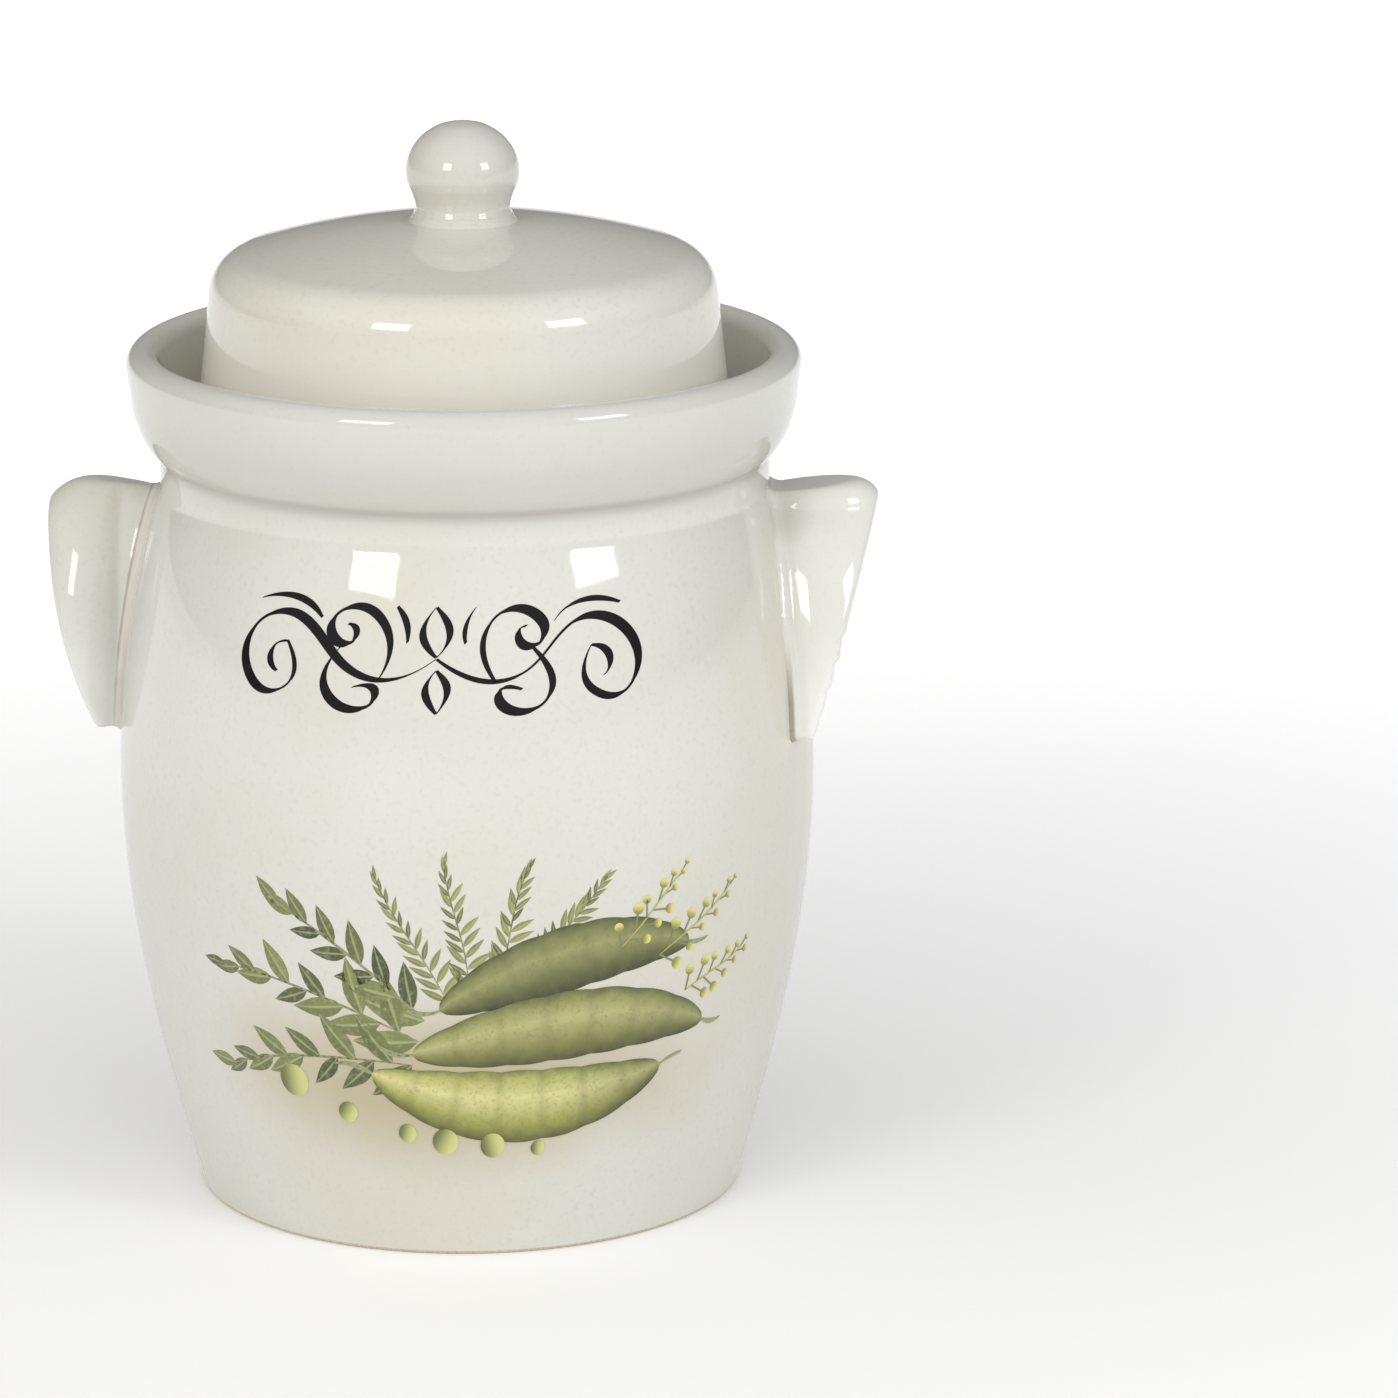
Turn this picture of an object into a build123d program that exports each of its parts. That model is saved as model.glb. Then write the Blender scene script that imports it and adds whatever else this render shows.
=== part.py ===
from build123d import *
from math import acos, cos, degrees, radians, sin, sqrt, tan
import os

# Water seal pickle jar: a stoneware crock with a water channel, a bell lid and two weight stones.
# Millimetres. The jar stands on z = 0 with its axis on Z, its front faces -Y and its hoods lie on X.

# Barrel, from the foot to the neck
foot_radius = 74.2
belly_radius = 94.4
belly_height = 117.5
neck_radius = 82.1
neck_length = 6.7
neck_crease_radius = 8.0
seam_height = 201.0
barrel_wall = 7.5
floor_thickness = 8.5
foot_ring_width = 9.0
foot_recess_depth = 2.5
foot_edge_radius = 1.2
floor_corner_radius = 12.0

# Shares of the way up and out from the foot to the belly, and from the belly in to the neck
rise_height_shares = (0.158, 0.513)
rise_radius_shares = (0.243, 0.724)
fall_height_shares = (0.306, 0.6575)
fall_radius_shares = (0.092, 0.4)
floor_radius_share = 0.14
foot_slope_share = 0.25
neck_slope_share = 0.42

# Rim ring: the slab over the shoulder, the outer rim and the inner collar, with the water channel between
slab_thickness = 7.0
mouth_radius = 54.3
collar_thickness = 5.6
collar_height = 24.0
collar_draft = 0.8
rim_height = 31.6
rim_bead_radius = 4.4
rim_bead_reach = 90.6
rim_band_radius = 89.7
rim_band_rise = 18.8
rim_flank_radius = 36.0
channel_floor_radius = 78.4
channel_corner_radius = 3.5
mouth_edge_radius = 2.0

# Bell lid, which stands on the channel floor
lid_skirt_radius = 72.4
lid_corner_radius = 67.3
lid_shoulder_radius = 11.5
lid_dome_radius = 207.0
lid_height = 58.4
lid_wall = 6.2
lid_lip_radius = 1.5
gas_notch_radius = 3.5

# Knob
knob_base_radius = 14.6
knob_neck_radius = 13.4
knob_base_fillet = 1.6
knob_ball_radius = 15.1
knob_ball_half_height = 13.4
knob_height = 26.8

# Degrees above the ball's widest place, where its outline is held
ball_angles = (-12, 0, 12, 24, 36, 48, 60, 70, 80)

# Hoods on the two sides: each half of a small upturned cup, cut slantwise to let the fingers in.
# Heights are drops below the seam or the crown, and reaches are counted from the belly's radius.
hood_wall = 5.8
hood_tilt = 7.2
hood_spring_drop = 23.3
hood_lip_radius = 1.8

left_hood_inset = 1.0
left_hood_half_width = 21.0
left_hood_flare = 1.7
left_hood_brow = 14.3
left_hood_crown_drop = 7.6
left_hood_height = 64.2
left_hood_edge_reach = 19.0
left_hood_foot_reach = 4.3
left_hood_edge_bulge = 3.0

right_hood_inset = 5.8
right_hood_half_width = 25.0
right_hood_flare = 6.5
right_hood_brow = 7.4
right_hood_crown_drop = 6.3
right_hood_height = 63.2
right_hood_edge_reach = 17.8
right_hood_foot_reach = 1.3
right_hood_edge_bulge = 0.6

# Weight stones
stone_radius = 51.0
stone_thickness = 15.0
stone_gap = 2.0
stone_edge_radius = 3.0

# One overrun for every cut
overrun = 20.0


# Heights and radii that follow from the sizes above
def along(start, end, share):
    return start + share * (end - start)


neck_start_height = seam_height - neck_length
floor_height = foot_recess_depth + floor_thickness
channel_floor_height = seam_height + slab_thickness
rim_top = seam_height + rim_height
bead_centre_radius = rim_bead_reach - rim_bead_radius
bead_centre_height = rim_top - rim_bead_radius
collar_radius = mouth_radius + collar_thickness
lid_top = channel_floor_height + lid_height
dome_centre_height = lid_top - lid_dome_radius


def dome_height(radius, reach):
    """Height of the dome of this radius over a point this far from the axis."""
    return dome_centre_height + sqrt(radius**2 - reach**2)


def corner_fillet(face, place, radius):
    """Round the corner of a profile that lies nearest to a place."""
    return fillet(face.vertices().sort_by_distance(place)[0], radius)


def turned(profile):
    """A profile of radius and height, turned round the jar's axis."""
    return revolve(Plane.XZ * profile, axis=Axis.Z)


def barrel_side(inset, start):
    """The barrel's side from a start point up to the neck, this far inside the outer surface."""
    rise = [
        (along(foot_radius, belly_radius, out) - inset, along(0, belly_height, up))
        for up, out in zip(rise_height_shares, rise_radius_shares)
        if along(0, belly_height, up) > start[1]
    ]
    fall = [
        (along(belly_radius, neck_radius, back) - inset, along(belly_height, neck_start_height, up))
        for up, back in zip(fall_height_shares, fall_radius_shares)
    ]
    belly = (belly_radius - inset, belly_height)
    neck = (neck_radius - inset, neck_start_height)
    return Spline(start, *rise, belly, *fall, neck, tangents=[(foot_slope_share, 1), (-neck_slope_share, 1)])


# Barrel
outer_side = barrel_side(0, (foot_radius, 0))
outer_neck = Line((neck_radius, neck_start_height), (neck_radius, seam_height))
outer_close = Polyline((neck_radius, seam_height), (0, seam_height), (0, 0), (foot_radius, 0))
barrel_block_profile = make_face(outer_side + outer_neck + outer_close)
barrel_block_profile = corner_fillet(barrel_block_profile, (neck_radius, neck_start_height), neck_crease_radius)
barrel_block = turned(barrel_block_profile)

inner_floor_radius = along(foot_radius, belly_radius, floor_radius_share) - barrel_wall
inner_side = barrel_side(barrel_wall, (inner_floor_radius, floor_height))
inner_neck_radius = neck_radius - barrel_wall
inner_top = seam_height + overrun
inner_neck = Line((inner_neck_radius, neck_start_height), (inner_neck_radius, inner_top))
inner_close = Polyline(
    (inner_neck_radius, inner_top), (0, inner_top), (0, floor_height), (inner_floor_radius, floor_height)
)
hollow_profile = make_face(inner_side + inner_neck + inner_close)
hollow_profile = corner_fillet(hollow_profile, (inner_floor_radius, floor_height), floor_corner_radius)
hollow_profile = corner_fillet(hollow_profile, (inner_neck_radius, neck_start_height), neck_crease_radius)

foot_profile = corner_fillet(barrel_block_profile, (foot_radius, 0), foot_edge_radius)
recess_radius = foot_radius - foot_ring_width
recess = Cylinder(recess_radius, foot_recess_depth, align=(Align.CENTER, Align.CENTER, Align.MIN))
crock_body = turned(foot_profile) - turned(hollow_profile) - recess

# Rim ring with the water channel
flank = RadiusArc(
    (neck_radius, seam_height), (rim_band_radius, seam_height + rim_band_rise), -rim_flank_radius
)
band = Line((rim_band_radius, seam_height + rim_band_rise), (rim_bead_reach, bead_centre_height))
bead = ThreePointArc(
    (rim_bead_reach, bead_centre_height),
    (bead_centre_radius, rim_top),
    (bead_centre_radius - rim_bead_radius, bead_centre_height),
)
collar_top = seam_height + collar_height
collar_bead_radius = (collar_thickness - collar_draft) / 2
collar_bead_height = collar_top - collar_bead_radius
channel_wall = Polyline(
    (bead_centre_radius - rim_bead_radius, bead_centre_height),
    (channel_floor_radius, channel_floor_height),
    (collar_radius, channel_floor_height),
    (collar_radius - collar_draft, collar_bead_height),
)
collar_bead = ThreePointArc(
    (collar_radius - collar_draft, collar_bead_height),
    (mouth_radius + collar_bead_radius, collar_top),
    (mouth_radius, collar_bead_height),
)
mouth = Polyline((mouth_radius, collar_bead_height), (mouth_radius, seam_height), (neck_radius, seam_height))
ring_profile = make_face(flank + band + bead + channel_wall + collar_bead + mouth)
for corner in (channel_floor_radius, collar_radius):
    ring_profile = corner_fillet(ring_profile, (corner, channel_floor_height), channel_corner_radius)
ring_profile = corner_fillet(ring_profile, (mouth_radius, seam_height), mouth_edge_radius)
channel_rim = turned(ring_profile)

# Lid shell: skirt, shoulder and dome, with a flat seat for the knob and two gas notches in the skirt
seat_height = dome_height(lid_dome_radius, knob_base_radius)
corner_height = dome_height(lid_dome_radius, lid_corner_radius)
dome_wall_radius = lid_dome_radius - lid_wall
inner_corner_radius = lid_corner_radius - lid_wall
inner_corner_height = dome_height(dome_wall_radius, inner_corner_radius)
dome_middle_share = 0.5
dome_middle = along(knob_base_radius, lid_corner_radius, dome_middle_share)
inner_middle = dome_middle_share * inner_corner_radius
seat = Line((0, seat_height), (knob_base_radius, seat_height))
dome = ThreePointArc(
    (knob_base_radius, seat_height),
    (dome_middle, dome_height(lid_dome_radius, dome_middle)),
    (lid_corner_radius, corner_height),
)
skirt = Polyline(
    (lid_corner_radius, corner_height),
    (lid_skirt_radius, channel_floor_height),
    (lid_skirt_radius - lid_wall, channel_floor_height),
    (inner_corner_radius, inner_corner_height),
)
inner_dome = ThreePointArc(
    (inner_corner_radius, inner_corner_height),
    (inner_middle, dome_height(dome_wall_radius, inner_middle)),
    (0, lid_top - lid_wall),
)
lid_axis = Line((0, lid_top - lid_wall), (0, seat_height))
lid_profile = make_face(seat + dome + skirt + inner_dome + lid_axis)
lid_roundings = (
    ((lid_corner_radius, corner_height), lid_shoulder_radius),
    ((inner_corner_radius, inner_corner_height), lid_shoulder_radius - lid_wall),
    ((lid_skirt_radius, channel_floor_height), lid_lip_radius),
    ((lid_skirt_radius - lid_wall, channel_floor_height), lid_lip_radius),
)
for place, radius in lid_roundings:
    lid_profile = corner_fillet(lid_profile, place, radius)
notch_length = lid_skirt_radius + overrun
notch = Rotation(90, 0, 0) * Cylinder(gas_notch_radius, notch_length + notch_length)
lid_shell = turned(lid_profile) - Pos(0, 0, channel_floor_height) * notch

# Knob: a ball on a short neck that spreads over its seat
knob_top = seat_height + knob_height
ball_height = knob_top - knob_ball_half_height
meet_angle = degrees(acos(knob_neck_radius / knob_ball_radius))


def ball_point(angle):
    """A point on the ball's outline, this many degrees above its widest place."""
    turn = radians(angle)
    return (knob_ball_radius * cos(turn), ball_height + knob_ball_half_height * sin(turn))


neck_top = ball_point(-meet_angle)
fillet_height = seat_height + knob_base_fillet
knob_outline = Polyline(
    (0, knob_top),
    (0, seat_height),
    (knob_base_radius, seat_height),
    (knob_neck_radius, fillet_height),
    neck_top,
)
meet_turn = radians(meet_angle)
ball_start = (knob_ball_radius * sin(meet_turn), knob_ball_half_height * cos(meet_turn))
ball_side = Spline(neck_top, *map(ball_point, ball_angles), (0, knob_top), tangents=[ball_start, (-1, 0)])
lid_knob = turned(make_face(knob_outline + ball_side))


# Hoods
def hood_cup(inset, half_width, flare, brow, depth):
    """An upturned cup, this far inside its outer surface, on its own axis with its outer crown at zero."""
    lean = tan(radians(flare))
    wall_at_crown = half_width - inset - (hood_spring_drop - inset) * lean
    wall_at_foot = half_width - inset + (depth - hood_spring_drop) * lean
    outline = Polyline((0, -inset), (wall_at_crown, -inset), (wall_at_foot, -depth), (0, -depth), (0, -inset))
    profile = corner_fillet(make_face(outline), (wall_at_crown, -inset), brow - inset)
    return turned(profile)


def hood(axis_inset, half_width, flare, brow, crown_drop, height, edge_reach, foot_reach, bulge):
    """A hood on the +X side of the barrel."""
    crown_height = seam_height - crown_drop
    foot_height = crown_height - height
    below_foot = height + overrun
    cup = hood_cup(0, half_width, flare, brow, below_foot)
    finger_room = hood_cup(hood_wall, half_width, flare, brow, below_foot + overrun)
    axis = belly_radius - axis_inset
    shell = Pos(axis, 0, crown_height) * Rotation(0, -hood_tilt, 0) * (cup - finger_room)

    edge_top = (belly_radius + edge_reach, crown_height)
    edge_foot = (belly_radius + foot_reach, foot_height)
    outside = edge_top[0] + height
    above = crown_height + overrun
    free_edge = SagittaArc(edge_foot, edge_top, -bulge)
    around = Polyline(edge_top, (edge_top[0], above), (outside, above), (outside, foot_height), edge_foot)
    beyond = extrude(Plane.XZ * make_face(free_edge + around), height, both=True)
    under = (Align.CENTER, Align.CENTER, Align.MAX)
    below = Pos(axis, 0, foot_height) * Box(outside, outside, outside, align=under)
    cut = shell - beyond - below - barrel_block
    lip = cut.faces().filter_by(GeomType.CYLINDER).sort_by(Axis.X)[-1]
    long_edges = lip.edges().filter_by(lambda edge: edge.length > hood_wall + hood_wall)
    return fillet(long_edges, hood_lip_radius)


handle_right = hood(
    right_hood_inset,
    right_hood_half_width,
    right_hood_flare,
    right_hood_brow,
    right_hood_crown_drop,
    right_hood_height,
    right_hood_edge_reach,
    right_hood_foot_reach,
    right_hood_edge_bulge,
)
left_as_right = hood(
    left_hood_inset,
    left_hood_half_width,
    left_hood_flare,
    left_hood_brow,
    left_hood_crown_drop,
    left_hood_height,
    left_hood_edge_reach,
    left_hood_foot_reach,
    left_hood_edge_bulge,
)
handle_left = mirror(left_as_right, about=Plane.YZ)

# Weight stones: two half discs that lie side by side on the inside floor
disc = Cylinder(stone_radius, stone_thickness, align=(Align.CENTER, Align.CENTER, Align.MIN))
half_gap = stone_gap / 2
half_space = Box(
    stone_radius + overrun,
    stone_radius + stone_radius,
    stone_thickness,
    align=(Align.MIN, Align.CENTER, Align.MIN),
)
half_disc = disc & Pos(half_gap, 0, 0) * half_space
half_disc = fillet(half_disc.edges().filter_by(Axis.Z, reverse=True), stone_edge_radius)
weight_stone_right = Pos(0, 0, floor_height) * half_disc
weight_stone_left = mirror(weight_stone_right, about=Plane.YZ)

nodes = {
    "crock_body": crock_body,
    "channel_rim": channel_rim,
    "handle_left": handle_left,
    "handle_right": handle_right,
    "lid_shell": lid_shell,
    "lid_knob": lid_knob,
    "weight_stone_left": weight_stone_left,
    "weight_stone_right": weight_stone_right,
}
os.makedirs("parts", exist_ok=True)
for name, solid in nodes.items():
    export_step(solid, f"parts/{name}.step")
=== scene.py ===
from math import cos, exp, pi, radians, sin

import bmesh
import bpy
import numpy as np
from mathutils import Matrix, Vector


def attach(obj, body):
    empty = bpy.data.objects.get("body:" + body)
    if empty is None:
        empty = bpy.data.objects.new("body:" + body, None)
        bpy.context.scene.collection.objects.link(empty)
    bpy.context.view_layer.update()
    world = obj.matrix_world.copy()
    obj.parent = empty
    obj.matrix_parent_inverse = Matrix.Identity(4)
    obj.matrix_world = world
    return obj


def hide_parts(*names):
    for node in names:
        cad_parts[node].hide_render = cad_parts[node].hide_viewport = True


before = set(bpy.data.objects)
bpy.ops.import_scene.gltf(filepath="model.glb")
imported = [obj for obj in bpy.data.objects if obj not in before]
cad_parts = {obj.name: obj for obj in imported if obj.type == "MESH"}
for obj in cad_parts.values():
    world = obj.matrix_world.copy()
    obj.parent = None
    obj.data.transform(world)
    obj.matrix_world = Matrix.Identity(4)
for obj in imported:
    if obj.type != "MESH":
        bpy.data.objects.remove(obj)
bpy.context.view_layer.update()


# The view. The jar stands half turned, its right hood nearer, and is seen from a little above
# its lid through a long lens.
jar_turn = radians(5.5)
camera_reach = 1.7755
camera_height = 0.5973
camera_pitch = radians(14.647)
camera_aim = radians(2.033)
lens_length = 173.6
film_width = 36

viewer = bpy.data.objects.new("viewer", bpy.data.cameras.new("viewer"))
viewer.data.lens = lens_length
viewer.data.sensor_width = film_width
viewer.location = (camera_reach * sin(jar_turn), -camera_reach * cos(jar_turn), camera_height)
viewer.rotation_euler = (pi / 2 - camera_pitch, 0, jar_turn - camera_aim)
bpy.context.collection.objects.link(viewer)
bpy.context.scene.camera = viewer


# Light and floor. Two square soft boxes stand in front, one on each side, the left one warmer,
# and a white room, dimmer behind the jar and low down, fills the shadows. The floor is a pale
# sweep that glows a little away from the jar, so that it stays near white.
box_reach = 1.6
box_size = 0.46
box_aim = 0.24
box_height_angle = radians(22)
box_turns = (radians(-28), radians(53))
box_power = 3.9
box_colours = ((1.0, 0.97, 0.92), (0.97, 0.98, 1.0))
room_front = 0.9
room_back = 0.2
room_rise = 0.85
room_depth = 0.9
room_turn = (-0.1, 0.9)
floor_size = 30
paper_white = (0.96, 0.96, 0.96, 1)
paper_roughness = 0.9
glow_run = (0.1, 0.9)
glow_near = 0.12
glow_far = 0.45
fade_run = (2.3, 5.0)
fade_end = 0.2


class Wire:
    """A socket in a node tree. Signs of arithmetic on it add the Math nodes that they stand for."""

    def __init__(self, tree, socket=None):
        self.tree = tree
        self.socket = socket

    def node(self, kind, settings, values, give=0):
        """Add a node, its settings first, then the values or wires of its inputs, and give one output."""
        made = self.tree.nodes.new(kind)
        for name, setting in settings.items():
            if name == "stops":
                while len(made.color_ramp.elements) < len(setting):
                    made.color_ramp.elements.new(0.5)
                for stop, (place, colour) in zip(made.color_ramp.elements, setting):
                    stop.position = place
                    stop.color = (*colour, 1)
            else:
                setattr(made, name, setting)
        for name, value in values.items():
            for one in value if isinstance(value, list) else [value]:
                if isinstance(one, Wire):
                    self.tree.links.new(one.socket, made.inputs[name])
                else:
                    made.inputs[name].default_value = one
        return Wire(self.tree, made.outputs[give])

    def maths(self, operation, *others):
        """One Math node on this wire and the others."""
        return self.node("ShaderNodeMath", {"operation": operation}, dict(enumerate((self, *others))))

    def parts(self):
        """The three parts of a vector."""
        split = self.node("ShaderNodeSeparateXYZ", {}, {0: self}).socket.node
        return [Wire(self.tree, socket) for socket in split.outputs]

    def ramp(self, low, high, start=0.0, end=1.0):
        """This wire's run from low to high, eased into a run from start to end."""
        ends = {"Value": self, "From Min": low, "From Max": high, "To Min": start, "To Max": end}
        return self.node("ShaderNodeMapRange", {"interpolation_type": "SMOOTHSTEP"}, ends)

    def __add__(self, other):
        return self.maths("ADD", other)

    def __mul__(self, other):
        return self.maths("MULTIPLY", other)

    def __sub__(self, other):
        return self.maths("SUBTRACT", other)

    def __truediv__(self, other):
        return self.maths("DIVIDE", other)

    def __rsub__(self, other):
        return Wire(self.tree).node("ShaderNodeMath", {"operation": "SUBTRACT"}, {0: other, 1: self})

    def __rtruediv__(self, other):
        return Wire(self.tree).node("ShaderNodeMath", {"operation": "DIVIDE"}, {0: other, 1: self})

    __radd__ = __add__
    __rmul__ = __mul__


for number, turn in enumerate(box_turns):
    lamp = bpy.data.objects.new(f"soft_box_{number}", bpy.data.lights.new(f"soft_box_{number}", "AREA"))
    lamp.data.shape = "SQUARE"
    lamp.data.size = box_size
    lamp.data.energy = box_power
    lamp.data.color = box_colours[number]
    away = box_reach * cos(box_height_angle)
    lamp.location = (away * sin(turn), -away * cos(turn), box_aim + box_reach * sin(box_height_angle))
    lamp.rotation_euler = (Vector((0, 0, box_aim)) - lamp.location).to_track_quat("-Z", "Y").to_euler()
    bpy.context.collection.objects.link(lamp)

room = bpy.data.worlds.new("room")
room.use_nodes = True
background = room.node_tree.nodes["Background"]
background.inputs["Color"].default_value = (1, 1, 1, 1)
_, depth, rise = Wire(room.node_tree).node("ShaderNodeTexCoord", {}, {}, "Generated").parts()
front = (rise * room_rise - depth * room_depth).ramp(*room_turn, room_back, room_front)
room.node_tree.links.new(front.socket, background.inputs["Strength"])
bpy.context.scene.world = room
bpy.context.scene.view_settings.view_transform = "Standard"

bpy.ops.mesh.primitive_plane_add(size=floor_size)
floor = bpy.context.object
floor.name = "floor"
paper = bpy.data.materials.new("paper")
paper.use_nodes = True
sweep = paper.node_tree.nodes["Principled BSDF"].inputs
sweep["Base Color"].default_value = paper_white
sweep["Roughness"].default_value = paper_roughness
sweep["Emission Strength"].default_value = 1.0
east, north, _ = Wire(paper.node_tree).node("ShaderNodeTexCoord", {}, {}, "Object").parts()
reach = (east * east + north * north).maths("SQRT")
glow = reach.ramp(*glow_run, glow_near, glow_far) * reach.ramp(*fade_run, 1.0, fade_end)
paper.node_tree.links.new(glow.socket, sweep["Emission Color"])
floor.data.materials.append(paper)


# Barrel. The crock's body is turned from white stoneware clay and glazed cream, inside and out,
# but for the foot ring that it is fired on. It is lathed from the outline of its solid, with the
# faint waves that the wheel and a thick glaze leave.
barrel_columns = 240
barrel_wave = 0.0014
barrel_wave_size = 0.05
turned_edge = radians(50)
on_plane = 0.000001
same_spot = 0.00001
weld = 0.000002

sheen_size = 0.012
glaze_wave_size = 0.03
peel_size = 0.0025
drift_size = 0.09
mottle_size = 0.0014
specks_per_metre = 110
speck_edge = (0.012, 0.035)
speck_share = (0.9, 0.97)
ragged_size = 0.03
foot_grain_size = 0.0008

outer_skin = (0.0795, 0.0815)
crease_shade_skin = (0.0855, 0.0875)
crease_shade_low = (0.2005, 0.203)
crease_shade_high = (0.2042, 0.2062)
under_rim_shade_low = (0.195, 0.205)
under_rim_shade_high = (0.208, 0.228)
rim_band_shade_skin = (0.0855, 0.088)
rim_band_shade_low = (0.208, 0.214)
ground_turn = 0.07
ground_half_turn = 0.92
ground_height = 0.05
ground_half_height = 0.03
ground_skin = (0.078, 0.0795)
ground_fade = (0.45, 1.35)
front_side = (-0.03, -0.01)
foot_flat = (0.0008, 0.0012)
foot_recess = (0.0035, 0.004)
foot_inside = (0.0672, 0.0675)

cool_cream = (216, 216, 209)
warm_cream = (213, 210, 197)
mottle_grey = (198, 194, 180)
iron_brown = (150, 126, 96)
# Greys of painted shade: the crease under the rim, the neck and flare under it, and the rim's band.
crease_shade_grey = (158, 155, 149)
under_rim_shade_grey = (186, 183, 175)
rim_band_shade_grey = (195, 195, 190)
ground_olive = (184, 172, 138)
pale_clay = (205, 192, 168)
dark_clay = (184, 168, 142)


def vector(x, y, z):
    """A vector of three numbers or wires, at least one of them a wire."""
    wire = next(part for part in (x, y, z) if isinstance(part, Wire))
    return wire.node("ShaderNodeCombineXYZ", {}, {0: x, 1: y, 2: z})


def over(mask, under, upper):
    """One colour laid over another where the mask is 1."""
    return mask.node("ShaderNodeMix", {"data_type": "RGBA"}, {0: mask, 6: under, 7: upper}, 2)


def srgb(red, green, blue):
    """A colour as it is read from a picture, 0 to 255, as the shaders take it."""
    return (*(((part / 255 + 0.055) / 1.055) ** 2.4 for part in (red, green, blue)), 1)


def clouds(place, size, detail=2.0, seed=0.0):
    """Soft noise around 0.5 whose clouds are this many metres across."""
    values = {"Vector": place, "W": seed, "Scale": 1 / size, "Detail": detail}
    return place.node("ShaderNodeTexNoise", {"noise_dimensions": "4D"}, values)


def fired(name, colour_of, roughness=(0.035, 0.07), heights=(0.00007, 0.000003), index=1.6):
    """A fired surface: its own colour under a gloss with soft waves and a fine peel of these heights."""
    material = bpy.data.materials.new(name)
    material.use_nodes = True
    gloss = material.node_tree.nodes["Principled BSDF"]
    gloss.inputs["IOR"].default_value = index
    place = Wire(material.node_tree).node("ShaderNodeTexCoord", {}, {}, "Object")
    sheen = clouds(place, sheen_size).ramp(0.3, 0.7, *roughness)
    wave, peel = heights
    height = clouds(place, glaze_wave_size, 1.0, 3.0) * wave + clouds(place, peel_size, 1.0, 5.0) * peel
    bump = height.node("ShaderNodeBump", {}, {"Height": height, "Distance": 1.0, "Strength": 1.0})
    links = {"Base Color": colour_of(place), "Roughness": sheen, "Normal": bump}
    for socket, wire in links.items():
        material.node_tree.links.new(wire.socket, gloss.inputs[socket])
    return material


def cream(place, cool=cool_cream, warm=warm_cream):
    """Cream glaze: soft drifts of warm and cool, a fine mottle and a few iron specks."""
    drift = clouds(place, drift_size, 3.0).ramp(0.35, 0.65)
    colour = over(drift, srgb(*cool), srgb(*warm))
    mottle = clouds(place, mottle_size, 3.0, 7.0).ramp(0.5, 0.72, 0.0, 0.28)
    colour = over(mottle, colour, srgb(*mottle_grey))
    cells = {"Vector": place, "Scale": specks_per_metre}
    spot = place.node("ShaderNodeTexVoronoi", {}, cells, "Distance")
    which = place.node("ShaderNodeTexVoronoi", {}, cells, "Color").parts()[0]
    speck = spot.ramp(*speck_edge, 1.0, 0.0) * which.ramp(*speck_share)
    return over(speck * 0.5, colour, srgb(*iron_brown))


def crock_colour(place):
    """Cream glaze with painted shade in the crease under the rim, on the neck and flare under it and on
    the rim's outer band, with a warm ground for the picture and bare clay at the foot."""
    colour = cream(place)
    x, y, z = place.parts()
    reach = (x * x + y * y).maths("SQRT")
    # Painted shade in the crease under the rim.
    crease = z.ramp(*crease_shade_low) * z.ramp(*crease_shade_high, 1.0, 0.0)
    crease = crease * reach.ramp(*outer_skin) * reach.ramp(*crease_shade_skin, 1.0, 0.0)
    colour = over(crease * 0.6, colour, srgb(*crease_shade_grey))
    # Painted shade on the neck and on the rim's flare above it.
    shade = z.ramp(*under_rim_shade_low) * z.ramp(*under_rim_shade_high, 1.0, 0.0) * reach.ramp(*outer_skin)
    colour = over(shade * 0.5, colour, srgb(*under_rim_shade_grey))
    # Painted shade: the rim's outer band and lip made greyer.
    band = reach.ramp(*rim_band_shade_skin) * z.ramp(*rim_band_shade_low)
    colour = over(band * 0.4, colour, srgb(*rim_band_shade_grey))
    across = (x.maths("ARCTAN2", 0.0 - y) - ground_turn) / ground_half_turn
    down = (z - ground_height) / ground_half_height
    ragged = clouds(place, ragged_size, 3.0, 11.0) * 0.5
    ground = (across * across + down * down).maths("SQRT") + ragged
    ground = ground.ramp(*ground_fade, 1.0, 0.0) * y.ramp(*front_side, 1.0, 0.0)
    ground = ground * reach.ramp(*ground_skin)
    colour = over(ground * 0.9, colour, srgb(*ground_olive))
    recess = z.ramp(*foot_recess, 1.0, 0.0) * reach.ramp(*foot_inside, 1.0, 0.0)
    bare = (z.ramp(*foot_flat, 1.0, 0.0) + recess).maths("MINIMUM", 1.0)
    grain = clouds(place, foot_grain_size, 3.0, 13.0).ramp(0.3, 0.7)
    return over(bare, colour, over(grain, srgb(*pale_clay), srgb(*dark_clay)))


def start_tree(name, inputs):
    """A Geometry Nodes tree with a geometry and these named inputs, and the wires of them all."""
    tree = bpy.data.node_groups.new(name, "GeometryNodeTree")
    tree.interface.new_socket("Geometry", in_out="INPUT", socket_type="NodeSocketGeometry")
    for title, kind in inputs.items():
        tree.interface.new_socket(title, in_out="INPUT", socket_type=f"NodeSocket{kind}")
    tree.interface.new_socket("Geometry", in_out="OUTPUT", socket_type="NodeSocketGeometry")
    entry = tree.nodes.new("NodeGroupInput")
    return {socket.name: Wire(tree, socket) for socket in entry.outputs if socket.name}


def end_tree(shape, material):
    """Close a tree with real faces in place of instances, all of one material."""
    real = shape.node("GeometryNodeRealizeInstances", {}, {"Geometry": shape})
    dressed = real.node("GeometryNodeSetMaterial", {}, {"Geometry": real, "Material": material})
    leave = shape.tree.nodes.new("NodeGroupOutput")
    shape.tree.links.new(dressed.socket, leave.inputs[0])
    return shape.tree


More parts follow.
